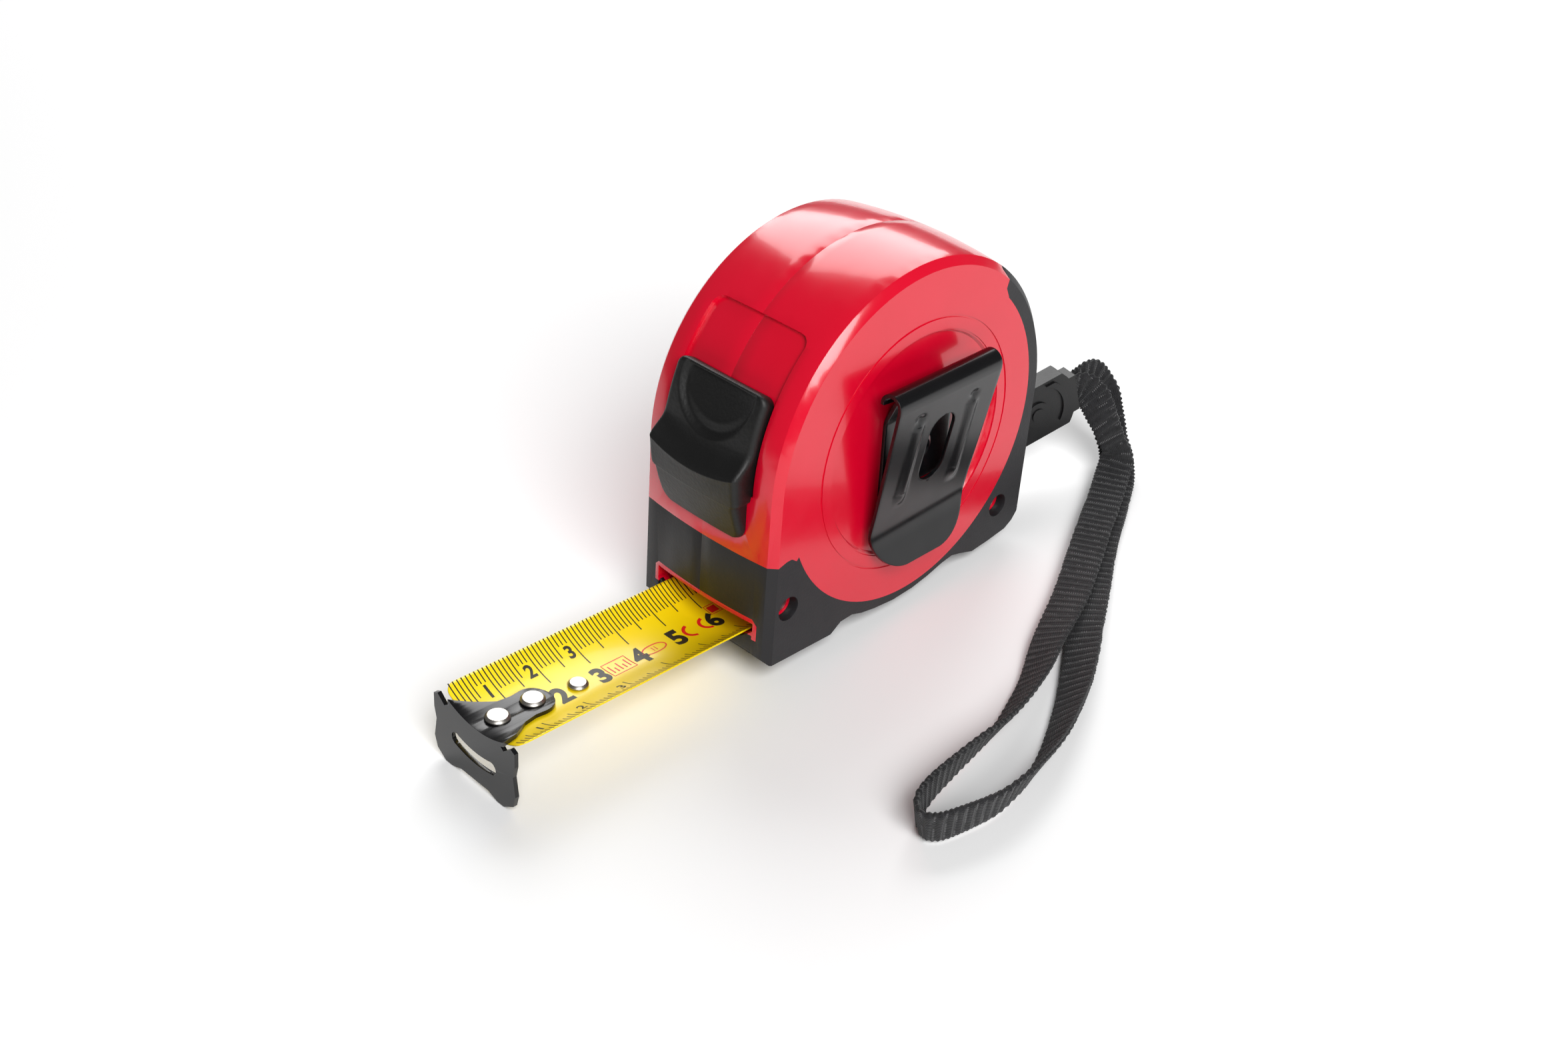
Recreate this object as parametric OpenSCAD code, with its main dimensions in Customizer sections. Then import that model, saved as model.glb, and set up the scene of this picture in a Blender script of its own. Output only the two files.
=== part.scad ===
// Pocket tape measure: 10 m x 25 mm blade, two-part shell with overmoulded bumpers,
// thumb lock, belt clip and wrist strap. It stands on its heel and on its end hook, so
// the case sits nose up by a few degrees. The origin is the middle of the heel's edge, on
// the floor. Shapes are drawn in the case's own frame, with +X to the back, +Z up and the
// drum's axis along Y at X = 0, and stance() then stands them. The strap lies on the floor
// and is drawn in the standing frame.

/* [Case] */
// Radius of the barrel at its side edges
case_r = 40; // [38:0.5:42]
// Extra radius at the middle of the crowned barrel
crown = 1.2; // [0.8:0.1:1.6]
// Half the width of the case
half_w = 19; // [18.6:0.1:20]
// Chamfer between barrel and side faces
edge_c = 1.6; // [1:0.1:2]
// Height of the drum's axis above the base
axis_h = 37.8; // [37.5:0.1:38.5]
// Thickness of the black overmould
bumper_t = 1.2; // [1:0.1:1.4]
// Thickness of shell and overmould together
wall_t = 2.6; // [2.5:0.1:2.8]
// Radius of the red disc that the black crescent runs round
red_r = 35.6; // [35:0.1:36]
// Height of the black band's top edge at the front
band_h = 23.4; // [22:0.2:25]

/* [Blade] */
// Half the chord of the curved blade
blade_half = 11.75; // [11.5:0.05:12]
// Radius of the blade's hollow upper face
blade_r = 20.7; // [20:0.1:22]
// Thickness of the blade as modelled
blade_t = 0.3; // [0.25:0.05:0.3]
// Height of the blade's lowest line above the base
blade_low = 1.74; // [1.7:0.02:1.9]
// Length of blade outside the mouth
blade_out = 56.6; // [50:0.2:60]
// Length of straight blade inside the mouth
blade_in = 18.6; // [15:0.2:19]

/* [Hook] */
// Half the width across the hook's prongs
hook_half = 13.2; // [12.5:0.1:14]
// Depth of the hook's tips below the base
hook_drop = 10.8; // [9:0.2:11]
// Thickness of the hook's sheet
hook_t = 0.9; // [0.8:0.1:1]

/* [Clip] */
// Width of the belt clip at its rolled edge
clip_w = 30.4; // [28:0.2:32]
// Outer radius of the clip's rolled edge
roll_r = 2.7; // [2.5:0.1:2.8]

/* [Strap] */
// Width of the webbing
strap_w = 8; // [7.5:0.1:8.2]
// Thickness of the webbing
strap_t = 1.4; // [1:0.1:1.5]

/* [Hidden] */
$fn = 96;

// Front wall at the middle of the barrel, and the hook's outer face
front_x = -(case_r + crown);
hook_x = front_x - blade_out + 0.1;
// The heel's edge, which carries the back of the case
heel_x = 32;
nose_up = atan2(hook_drop, heel_x - hook_x);
// Centre of the blade's curve
bend_h = blade_low + blade_r;
// Mouth
mouth_half = 13.2;
mouth_near = -14.8;
mouth_top = 8.9;
trim_t = 1;
trim_low = 5.1;
keel_half = 13.4;
guide_r = blade_r + blade_t + 0.35;
// Side disc
ring_r = 27.8;
disc_r = 25.1;
disc_in = 0.9;
// Case screws, as [x, z]
screw_at = [[-34.7, 12.4], [30.8, 11.4]];
screw_hole_r = 2.7;
// Drum and coil
spindle_r = 4;
hub_r = 22;
coil_r = 30.6;
coil_half = 12.5;
// Lock
slot_half = 3.4;
lock_half = 12.4;
track_top = 47.5;
track_low = -14.2;
track_depth = 0.9;
track_corner = 2.6;
// Lanyard pin, and the clasp that turns on it
pin_x = 36.5;
pin_z = 13.4;
pin_r = 1.2;
clasp_yaw = -15;
clasp_pitch = 18;
clasp_half_t = 2.2;
stud_at = [23, 0];

// Stands the case on its heel and its hook, with the heel's edge at the origin
module stance()
  rotate([0, nose_up, 0]) translate([-heel_x, 0, 0]) children();

// An outline in X and Z, as thick as y0 to y1
module slab(y0, y1)
  translate([0, y1, 0]) rotate([90, 0, 0]) linear_extrude(y1 - y0) children();

// An outline in Y and Z, as long as x0 to x1
module bar(x0, x1)
  translate([x0, 0, 0]) rotate([90, 0, 90]) linear_extrude(x1 - x0) children();

// A round bar along Y
module rod_y(r, y0, y1, x, z)
  translate([x, y1, z]) rotate([90, 0, 0]) cylinder(r = r, h = y1 - y0);

// A solid of revolution about the drum's axis, drawn as radius and place across
module about_drum()
  translate([0, 0, axis_h]) rotate([-90, 0, 0]) rotate_extrude() children();

// A point at radius r, a degrees above the horizontal at the front
function front_polar(r, a) = [-r * cos(a), axis_h + r * sin(a)];
// A point at radius r, a degrees above the horizontal at the back
function rear_polar(r, a) = [r * cos(a), axis_h + r * sin(a)];

// Half section through the crowned and chamfered barrel, inset by i
module barrel_section(i) {
  r = case_r - i;
  w = half_w - i;
  crown_r = ((half_w - edge_c) ^ 2 + crown ^ 2) / (2 * crown);
  intersection() {
    polygon([[0, -w], [r - edge_c, -w], [r + 2, 2 + edge_c - w],
             [r + 2, w - edge_c - 2], [r - edge_c, w], [0, w]]);
    translate([case_r + crown - crown_r, 0]) circle(r = crown_r - i, $fn = 720);
  }
}

// Side outline that cuts the bottom edges, inset by i
module sole_outline(i)
  polygon([[-60, 121], [-60, 21.2 + 1.4 * i], [-38.8 + 0.4 * i, i],
           [heel_x - 0.5 * i, i], [34.2 - 0.8 * i, 1.5 + 0.6 * i],
           [39 - i, 8], [41.4 - i, 21], [60, 121]]);

// The whole case as one solid, inset by i
module plain_form(i)
  intersection() {
    union() {
      about_drum() barrel_section(i);
      linear_extrude(axis_h) {
        barrel_section(i);
        mirror([1, 0]) barrel_section(i);
      }
    }
    slab(-30, 30) sole_outline(i);
  }

// Beside the keel the sides end higher: they follow the red disc from the front foot back
module foot_notches(i)
  for (s = [-1, 1])
    mirror([0, s > 0 ? 0 : 1, 0]) slab(keel_half - i, 30) {
      polygon([[-24 - i, -2], [-18.4 - i / 2, 2 + i], [-15, 2.3 + i], [-12, 1.4 + i],
               [-8, 0.8 + i], [-2, 0.4 + i], [4, 0.9 + i], [9, 2 + i], [13.4, 3.4 + i],
               [16.6, 4 + i], [19.5, 3.4 + i], [23.7, 2.2 + i], [28.8, 2.8 + i],
               [34.7, 3.8 + i], [37.5, 5.6 + i], [45, 5.6 + i], [45, -2]]);
    }

module body_form(i)
  difference() {
    plain_form(i);
    foot_notches(i);
  }

// Where the overmould shows: the front band, the base, and up the back
module bumper_zone()
  slab(-30, 30) difference() {
    polygon([[-60, band_h], [-38.4, band_h], [-36.2, 24.1], [-34.8, 24.2],
             [-33.4, 23.2], [-20, axis_h], [0, axis_h], rear_polar(30, 46.8),
             rear_polar(35.7, 46.8), rear_polar(36.6, 50.4), rear_polar(38.4, 51.6),
             rear_polar(39.4, 55.4), rear_polar(60, 58), [90, 0], [90, -9], [-60, -9]]);
    translate([0, axis_h]) circle(r = red_r, $fn = 360);
  }

// Mouth opening in Y and Z: over the blade's hollow guide
module mouth_outline(near)
  intersection() {
    translate([near, 0.4]) square([mouth_half - near, mouth_top - 0.4]);
    translate([0, bend_h]) circle(r = guide_r, $fn = 360);
  }

// The mouth, wider at its front on the right
module mouth() {
  bar(-60, 33) mouth_outline(-mouth_half);
  bar(-60, -36.5) mouth_outline(mouth_near);
}

// Groove under the mouth that lets the rivets' tails in
module rivet_groove() bar(-60, -15) translate([-3.3, 0.45]) square([5.7, 1.2]);

module trim_outline()
  polygon([[mouth_near - trim_t, trim_low], [mouth_half + trim_t, trim_low],
           [mouth_half + trim_t, mouth_top], [mouth_half, mouth_top + trim_t],
           [mouth_near + 0.2, mouth_top + trim_t], [mouth_near - trim_t, mouth_top - 0.2]]);

// The pockets for the hook's two landing pads, and the pads themselves at i = 0
module stop_strip(i)
  bar(front_x - 1, -39.2) difference() {
    translate([mouth_near + 0.2 - i, 0.3 - i])
      square([mouth_half - mouth_near - 0.4 + 2 * i, 5.6 + 2 * i]);
    translate([0, bend_h]) circle(r = guide_r - i, $fn = 360);
    translate([i - 3.3, 0]) square([5.7 - 2 * i, 5]);
  }

// The recess that the thumb lock slides in
module lock_track()
  difference() {
    intersection() {
      slab(-lock_half - 0.4, lock_half + 0.4)
        polygon([front_polar(36, track_low), front_polar(50, track_low), front_polar(56, 20),
                 front_polar(50, track_top), front_polar(36, track_top)]);
      translate([0, 0, axis_h]) rotate([0, track_top, 0]) bar(-60, 0) track_plan();
      translate([0, 0, axis_h]) rotate([0, track_low, 0]) bar(-60, 0) low_plan(-0.6);
    }
    plain_form(track_depth);
  }

// The recess seen square to its top end, with that end's corners rounded
module track_plan() {
  w = lock_half + 0.4;
  translate([-w, -60]) square([2 * w, 60 - track_corner]);
  translate([track_corner - w, -60]) square([2 * (w - track_corner), 60]);
  for (s = [-1, 1]) translate([s * (w - track_corner), -track_corner]) circle(r = track_corner);
}

// The lock's lower end seen square: narrower than the rest, with round corners
module low_plan(gap) {
  w = lock_half - 0.8 + gap;
  r = 3 + gap;
  translate([-w, r]) square([2 * w, 60]);
  translate([r - w, 0]) square([2 * (w - r), 60]);
  for (s = [-1, 1]) translate([s * (w - r), r]) circle(r = r);
  translate([-lock_half - 0.4, 9 - gap]) square([2 * lock_half + 0.8, 60]);
}

// Everything taken out of the whole case: cavity, mouth, holes, track and pocket
module case_hollows() {
  difference() {
    plain_form(wall_t);
    // rails over the side notches
    for (s = [-1, 1])
      translate([-60, s > 0 ? mouth_half + 0.1 : -30 - mouth_half - 0.1, 0]) cube([120, 30, 6.6]);
    // bosses round the case screws
    for (p = screw_at) rod_y(3.5, -30, 30, p[0], p[1]);
    // block that holds the lanyard pin
    translate([32.6, -8.4, 5]) cube([20, 16.6, 17.1]);
  }
  mouth();
  lock_track();
  slab(-slot_half, slot_half)
    polygon([front_polar(30, 2.4), front_polar(50, 2.4), front_polar(50, 25),
             front_polar(30, 25)]);
  for (p = screw_at) {
    rod_y(1.55, -14.5, 13, p[0], p[1]);
    rod_y(screw_hole_r, -30, -14.5, p[0], p[1]);
  }
  rod_y(1.6, -30, 0, 0, axis_h);
  // pocket for the clasp's eye, with the pin's seats above and below
  clasp_pocket();
  translate([pin_x, 0, 7.9]) cylinder(r = pin_r, h = 12.6);
  rivet_groove();
  stop_strip(0.05);
  // stepped side discs
  for (s = [-1, 1])
    mirror([0, s > 0 ? 0 : 1, 0]) {
      translate([0, half_w, axis_h]) rotate([90, 0, 0]) translate([0, 0, -1])
        cylinder(r = disc_r, h = 1.25);
      translate([0, half_w - 0.25, axis_h]) rotate([90, 0, 0])
        cylinder(r1 = disc_r - 0.35, r2 = disc_r - 0.8, h = disc_in - 0.25);
      translate([0, half_w, axis_h]) rotate([-90, 0, 0]) rotate_extrude()
        translate([ring_r - 0.25, -0.25]) square([0.5, 1]);
    }
}

module clasp_pocket() {
  translate([33.9, -7, pin_z - 4.6]) cube([20.3, 13.8, 11]);
  // higher at the back, where the clasp slants up
  translate([39.6, -7, pin_z]) cube([14.6, 13.8, 8.4]);
}

// What lies under the overmould, which also lines the mouths of the screw holes
module under_overmould()
  difference() {
    body_form(bumper_t);
    for (p = screw_at) rod_y(screw_hole_r + 0.7, -30, -16.6, p[0], p[1]);
  }

module overmould()
  difference() {
    intersection() {
      body_form(0);
      bumper_zone();
    }
    under_overmould();
    bar(-60, 0) trim_outline();
    mouth();
    rivet_groove();
    stop_strip(0.05);
    for (p = screw_at) rod_y(screw_hole_r, -30, 0, p[0], p[1]);
    clasp_pocket();
  }

module shells()
  difference() {
    body_form(0);
    difference() {
      intersection() {
        body_form(0);
        bumper_zone();
      }
      under_overmould();
      bar(-60, 0) trim_outline();
    }
    case_hollows();
  }

module half_space(s) translate([-80, s > 0 ? 0 : -40, -10]) cube([160, 40, 110]);

module case_left()
  color("crimson") stance() intersection() {
    shells();
    half_space(1);
  }

module case_right()
  color("crimson") stance() intersection() {
    shells();
    half_space(-1);
  }

module bumper_left()
  color("dimgray") stance() intersection() {
    overmould();
    half_space(1);
  }

module bumper_right()
  color("dimgray") stance() intersection() {
    overmould();
    half_space(-1);
  }

module hook_stop()
  color("black") stance() intersection() {
    stop_strip(0);
    plain_form(0.3);
  }

module case_screws()
  color("silver") stance() for (p = screw_at) {
    rod_y(1.5, -14.5, 12.5, p[0], p[1]);
    difference() {
      rod_y(2.4, -16.2, -14.5, p[0], p[1]);
      translate([p[0] - 2, -16.3, p[1] - 0.3]) cube([4, 0.7, 0.6]);
      translate([p[0] - 0.3, -16.3, p[1] - 2]) cube([0.6, 0.7, 4]);
    }
  }

module spindle()
  color("gray") stance() difference() {
    rod_y(spindle_r, wall_t - half_w, half_w - wall_t, 0, axis_h);
    rod_y(1.5, -17, -7, 0, axis_h);
  }

module clip_screw()
  color("black") stance() {
    rod_y(1.5, -18.9, -7.2, 0, axis_h);
    difference() {
      intersection() {
        rod_y(3.2, -20.6, -18.9, 0, axis_h);
        translate([0, -16.2, axis_h]) sphere(r = 4.9);
      }
      translate([-2.1, -21, axis_h - 0.35]) cube([4.2, 1.1, 0.7]);
      translate([-0.35, -21, axis_h - 2.1]) cube([0.7, 1.1, 4.2]);
    }
  }

module lanyard_pin()
  color("silver") stance() translate([pin_x, 0, 8]) cylinder(r = pin_r, h = 12.4);

// Belt clip. Its sheet is drawn in Y and Z, and lies on the right side disc
clip_t = 0.8;
clip_lean = 1.7;
clip_y = -(half_w - disc_in);
roll_y = clip_y - 6;
roll_z = axis_h + 16.4;
leaf_top_y = roll_y - roll_r;
leaf_knee = [clip_y - 3, 27.5];
leaf_lip = [clip_y - 5.2, 12.2];
slot_r = 3.75;
slot_low = 35.2;
slot_high = 44.2;

// The clip sits on its one screw, turned a little out of true
module clip_place()
  translate([0, 0, axis_h]) rotate([0, -clip_lean, 0]) translate([0, 0, -axis_h]) children();

module belt_clip()
  color("black") stance() clip_place() {
    // inner leg: flat on the disc, then slanting out to the roll
    difference() {
      bar(-10, 10)
        polygon([[roll_y + roll_r, roll_z - 0.4], [clip_y, 46], [clip_y, 29],
                 [clip_y - clip_t, 29], [clip_y - clip_t, 45.8],
                 [roll_y + roll_r - clip_t, roll_z - 0.6]]);
      rod_y(1.6, -30, 0, 0, axis_h);
    }
    bar(-clip_w / 2, clip_w / 2) translate([roll_y, roll_z]) difference() {
      circle(r = roll_r);
      circle(r = roll_r - clip_t);
      polygon([[0, 0], [9, -1.2], [9, -9], [-9, -9], [-9, -1.5]]);
    }
  }

// The leaf in side view: slanting in to its knee, then out to its lip
module leaf_profile()
  polygon([[leaf_top_y + 0.2, roll_z - 1.5], [leaf_knee[0] - clip_t, leaf_knee[1]],
           [leaf_knee[0] - clip_t - 0.4, leaf_knee[1] - 5],
           [leaf_lip[0] - clip_t, leaf_lip[1]], [leaf_lip[0], leaf_lip[1]],
           [leaf_knee[0] - 0.4, leaf_knee[1] - 5], [leaf_knee[0], leaf_knee[1]],
           [leaf_top_y + 0.2 + clip_t, roll_z - 1.5]]);

// The leaf in front view: tapered, with a round-cornered lip
module leaf_front()
  difference() {
    union() {
      polygon([[-clip_w / 2, roll_z], [-14.3, 27.5], [-14.3, 20.6], [14.3, 20.6],
               [14.3, 27.5], [clip_w / 2, roll_z]]);
      for (s = [-1, 1]) translate([5.7 * s, 20.8]) circle(r = 8.6);
      translate([-5.7, leaf_lip[1]]) square([11.4, 9]);
    }
    for (z = [slot_low, slot_high]) translate([0, z]) circle(r = slot_r);
    translate([-slot_r, slot_low]) square([2 * slot_r, slot_high - slot_low]);
  }

module belt_clip_leaf()
  color("black") stance() clip_place() intersection() {
    bar(-clip_w / 2, clip_w / 2) leaf_profile();
    slab(-30, -19) leaf_front();
  }

module drum()
  color("gainsboro") stance() about_drum() {
    // web with its hub, rim that carries the coil
    polygon([[spindle_r + 0.06, 10], [6.2, 10], [6.2, 13.4], [coil_r - 0.6, 13.4],
             [coil_r - 0.6, 14.8], [spindle_r + 0.06, 14.8]]);
    translate([hub_r - 1.5, -13.3]) square([1.45, 26.7]);
  }

module drum_cover()
  color("whitesmoke") stance() about_drum()
    translate([spindle_r + 0.06, -14.8]) square([coil_r - 0.7 - spindle_r, 1.4]);

module drum_washers()
  color("goldenrod") stance() about_drum()
    for (y = [-15.9, 15.1]) translate([spindle_r + 0.06, y]) square([3, 0.8]);

module wound_blade()
  color("gold") stance() about_drum()
    translate([hub_r, -coil_half]) square([coil_r - hub_r, 2 * coil_half]);

// Flat spiral spring between spindle and drum
spring_turns = 8;
spring_step = 15;
function spring_r(a) = 7.2 + 12.4 * a / (360 * spring_turns);
module power_spring()
  color("slategray") stance() slab(-9, 9) translate([0, axis_h])
    polygon(concat(
      [for (a = [0 : spring_step : 360 * spring_turns])
        spring_r(a) * [cos(a), sin(a)]],
      [for (a = [360 * spring_turns : -spring_step : 0])
        (spring_r(a) + 0.5) * [cos(a), sin(a)]]));

// Stretch of blade that has flattened out below the coil
module blade_feed()
  color("gold") stance()
    translate([-14, -coil_half, axis_h - coil_r - 0.75]) cube([15, 2 * coil_half, blade_t]);

// Section of the curved blade between two radii of its bend
module bend_section(inner, outer, half)
  intersection() {
    difference() {
      translate([0, bend_h]) circle(r = outer, $fn = 360);
      translate([0, bend_h]) circle(r = inner, $fn = 360);
    }
    translate([-half, 0]) square([2 * half, bend_h]);
  }

blade_end = hook_x + hook_t + 0.6;
blade_tail = front_x + blade_in;
rivet_at = [[hook_x + 5.2, 0], [hook_x + 13.6, 0], [hook_x + 24, -0.9]];

module blade()
  color("gold") stance() difference() {
    bar(blade_end, blade_tail) bend_section(blade_r, blade_r + blade_t, blade_half);
    for (p = rivet_at) translate(p) cylinder(r = 1.3, h = 4);
  }

module blade_stiffener()
  color("silver") stance() difference() {
    bar(blade_end + 0.8, rivet_at[2][0] + 4)
      bend_section(blade_r + blade_t, blade_r + blade_t + 0.25, 5);
    for (p = rivet_at) translate(p) cylinder(r = 1.3, h = 4);
  }

module blade_rivets()
  color("silver") stance() for (i = [0 : 2]) {
    head_r = i < 2 ? 2.5 : 2.1;
    seat = blade_low + (i < 2 ? 0.05 + hook_t + 0.15 : 0.26);
    translate(rivet_at[i]) {
      translate([0, 0, blade_low - blade_t - 0.6])
        cylinder(r = 1.3, h = seat - blade_low + blade_t + 0.61);
      translate([0, 0, seat + 0.3]) cylinder(r1 = head_r, r2 = head_r - 0.5, h = 0.45);
      translate([0, 0, seat]) cylinder(r = head_r, h = 0.3);
      translate([0, 0, blade_low - blade_t - 0.75]) cylinder(r = 1.9, h = 0.45);
    }
  }

// Plan of the hook's plate: wide at the fold, round behind the second rivet
module plate_plan() {
  polygon([[hook_x, -8.6], [hook_x + 4, -7.4], [hook_x + 8, -4.8], [hook_x + 11, -4.2],
           [hook_x + 13.5, -4.5], [hook_x + 13.5, 3.7], [hook_x + 11, 3.5],
           [hook_x + 8, 3.8], [hook_x + 4, 6], [hook_x, 8.6]]);
  translate([hook_x + 13.5, -0.4]) circle(r = 4.1);
}

// Face of the hook in Y and Z, a little off centre: prongs up and down each side
module face_outline()
  difference() {
    union() {
      polygon([[-7.4, 3.4], [-8.5, 2.6], [-10.6, 4.4], [-11.8, 3.8], [-11.8, 0.6],
               [-11.2, -2], [1.3 - hook_half, -6.4], [-11.2, -9], [-8.2, -hook_drop],
               [-6.2, -hook_drop], [-3.6, -9.9], [4.8, -9.9], [7.8, -hook_drop],
               [9.9, -hook_drop], [12.4, -9], [hook_half, -6.4], [12.4, -2], [13, 0.6],
               [13, 3.8], [11.8, 4.4], [9.7, 2.6], [8.6, 3.4]]);
    }
    translate([0, bend_h]) circle(r = blade_r - hook_t - 0.05, $fn = 360);
    // crescent slot, with round ends
    intersection() {
      difference() {
        translate([0, 15.2]) circle(r = 21, $fn = 200);
        translate([0, 15.2]) circle(r = 18.2, $fn = 200);
      }
      translate([-4.6, -9]) square([10.8, 9]);
    }
    for (y = [-4.6, 6.2]) translate([y, 15.2 - sqrt(19.6 * 19.6 - y * y)]) circle(r = 1.42);
  }

module end_hook()
  color("black") stance() difference() {
    union() {
      intersection() {
        bar(hook_x, hook_x + 20)
          bend_section(blade_r - hook_t - 0.05, blade_r - 0.05, 8.6);
        linear_extrude(12) plate_plan();
      }
      bar(hook_x, hook_x + hook_t) face_outline();
    }
    // slots that let the hook float by its own thickness
    for (i = [0, 1]) for (s = [-0.6, 0.6])
      translate([rivet_at[i][0] + s, 0, 0]) cylinder(r = 1.4, h = 5);
    for (i = [0, 1]) translate([rivet_at[i][0] - 0.6, -1.4, 0]) cube([1.2, 2.8, 5]);
  }

// Thumb lock: its side view in polar form about the drum's axis
lock_shape = [[40, 28.3], [42.6, 28.3], [43.2, 27.2], [43, 22], [42.9, 16], [43.2, 11],
  [44.3, 8.4], [45.5, 6.4], [46.1, 4.9], [45.9, 3.4], [45.2, -2.4], [43.3, -13.6], [43.2, -14.4],
  [42.7, -14.8]];

module lock_button()
  color("black") stance() difference() {
    union() {
      difference() {
        intersection() {
          slab(-lock_half, lock_half)
            polygon([for (p = lock_shape) front_polar(p[0], p[1])]);
          translate([0, 0, axis_h]) rotate([0, -14.8, 0]) bar(-60, 0) low_plan(0);
        }
        plain_form(track_depth - 0.25);
        // the rim of its lower end lies on the case, outside the recess
        difference() {
          plain_form(-0.1);
          translate([0, 0, axis_h]) rotate([0, track_low + 0.3, 0]) bar(-60, 0) low_plan(-0.9);
        }
      }
      // stem through the case's slot
      slab(0.3 - slot_half, slot_half - 0.3)
        polygon([front_polar(35.72, 3), front_polar(43, 3), front_polar(43, 12),
                 front_polar(35.72, 12)]);
    }
    // thumb dish
    translate([-58, 0, 66]) sphere(r = 17.4);
  }

module arc_band(r0, r1, a0, a1)
  intersection() {
    difference() {
      translate([0, axis_h]) circle(r = r1, $fn = 200);
      translate([0, axis_h]) circle(r = r0, $fn = 200);
    }
    polygon(concat([[0, axis_h]],
      [for (k = [0 : 6]) front_polar(90, a0 + (a1 - a0) * k / 6)]));
  }

module lock_arm()
  color("dimgray") stance() slab(-5, 5) arc_band(33.6, 35.6, -55, 16);

module brake_pad()
  color("saddlebrown") stance() slab(-12.2, 12.2) difference() {
    translate([-21.8, 5.9]) square([5.2, 4.2]);
    translate([0, axis_h]) circle(r = 33.6, $fn = 200);
    arc_band(33.55, 35.65, -75, 16);
  }

// Clasp, drawn along +X from its pin. Its barrel stands upright on the pin
module clasp_turn()
  translate([pin_x, 0, pin_z]) rotate([0, 0, clasp_yaw]) children();

// and its body slants up from there
module clasp_lean() clasp_turn() rotate([0, -clasp_pitch, 0]) children();

module clasp_outline() {
  polygon([[0, -3.6], [5, -3.6], [9, -7.2], [31.1, -7.2], [31.1, 4.6], [27, 7.4],
           [10.2, 7.4], [6.2, 3.6], [0, 3.6]]);
  // round end, and the sleeve behind it
  intersection() {
    translate(stud_at) circle(r = 11);
    translate([24, -7.2]) square([12, 14.6]);
  }
  translate([24, -4.9]) square([10.6, 9.9]);
}

// The raised rim round the stud, with the crescent between
module clasp_rim()
  intersection() {
    difference() {
      circle(r = 8.6);
      circle(r = 7.2);
    }
    translate([2.5, -4.6]) square([8, 11]);
  }

module strap_clasp()
  color("black") stance() {
    difference() {
      union() {
        clasp_lean() difference() {
          slab(-clasp_half_t, clasp_half_t) clasp_outline();
          // room for the webbing's two layers
          translate([27.8, -1.85, -4.4]) cube([10, 3.75, 8.75]);
        }
        clasp_turn() translate([0, 0, -3.9]) cylinder(r = 2.4, h = 7.8);
      }
      clasp_turn() translate([0, 0, -6]) cylinder(r = pin_r + 0.08, h = 12);
      clasp_lean() translate([stud_at[0], 0, stud_at[1]])
        rotate([90, 0, 0]) translate([0, 0, -6]) cylinder(r = 1.7, h = 12);
    }
    clasp_lean() translate([stud_at[0], 0, stud_at[1]]) for (s = [-1, 1])
      mirror([0, s > 0 ? 0 : 1, 0]) rotate([-90, 0, 0]) translate([0, 0, clasp_half_t - 0.1])
        linear_extrude(0.6) {
          difference() {
            circle(r = 3.2);
            circle(r = 1.7);
          }
          mirror([0, 1]) clasp_rim();
        }
  }

module clasp_stud()
  color("dimgray") stance() clasp_lean() translate([stud_at[0], 0, stud_at[1]])
    rotate([90, 0, 0]) translate([0, 0, -3]) cylinder(r = 1.7, h = 6);

// Strap: its route in the standing frame, as [x, y, z, lean]. The lean turns the webbing
// about its own length: 0 and 180 lie flat, 90 stands on edge. It leaves the clasp, lies
// over itself, stands up on edge round its far end and comes back below to the clasp
STRAP = [
  [32, -7.7, 19.5, 90], [38.8, -9.4, 21.1, 90], [42.2, -11.4, 18.8, 74],
  [43.8, -14, 13.5, 42], [44.4, -16.8, 8.5, 8], [43.4, -19.8, 5, -8],
  [38.5, -22.4, 3.4, -4], [30, -26.8, 2.8, 0], [18.5, -32.4, 2.7, 0], [8, -37.8, 2.7, 0],
  [-5.5, -44.5, 2.8, 8], [-20.5, -50.8, 3.3, 24], [-31.5, -56, 3.4, 40],
  [-41.5, -59.5, 3.7, 50], [-49.5, -61.5, 3.9, 60], [-56.5, -62.3, 4.2, 70],
  [-64.5, -63.2, 4.5, 78], [-72.5, -64.2, 4.5, 86], [-78, -66, 4.5, 94],
  [-80.8, -69, 4.6, 100], [-80, -71.4, 4.5, 98], [-76.5, -73.2, 4.5, 97],
  [-67.5, -75.5, 4.5, 103], [-61, -75.5, 4.4, 108], [-54.5, -74.5, 4.2, 114],
  [-44.5, -71.5, 3.7, 128], [-31.5, -65.4, 3, 143], [-21, -59.3, 2.5, 155],
  [-10.5, -52.5, 1.8, 167], [3, -44.2, 1.1, 176], [12.5, -38.2, 0.9, 180],
  [24, -31.8, 0.9, 180], [35, -25.8, 1, 180], [41, -22.2, 1.6, 180], [45.6, -18, 3.6, 176],
  [47.2, -14.8, 7.2, 168], [48.6, -12, 11.5, 150], [48.8, -10, 16.5, 125],
  [46.8, -8.8, 20.4, 105], [43.6, -8.3, 21.8, 95], [39.2, -7.8, 21.1, 90],
  [32.4, -6.1, 19.4, 90]
];

// A smooth point between the route's points, at i + f
function along(i, f) =
  let (p = [for (k = [-1 : 2]) STRAP[max(0, min(len(STRAP) - 1, i + k))]])
  0.5 * (2 * p[1] + (p[2] - p[0]) * f + (2 * p[0] - 5 * p[1] + 4 * p[2] - p[3]) * f ^ 2
         + (3 * p[1] - p[0] - 3 * p[2] + p[3]) * f ^ 3);

function place_of(p) = [p[0], p[1], p[2]];
function unit(v) = v / norm(v);

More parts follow.
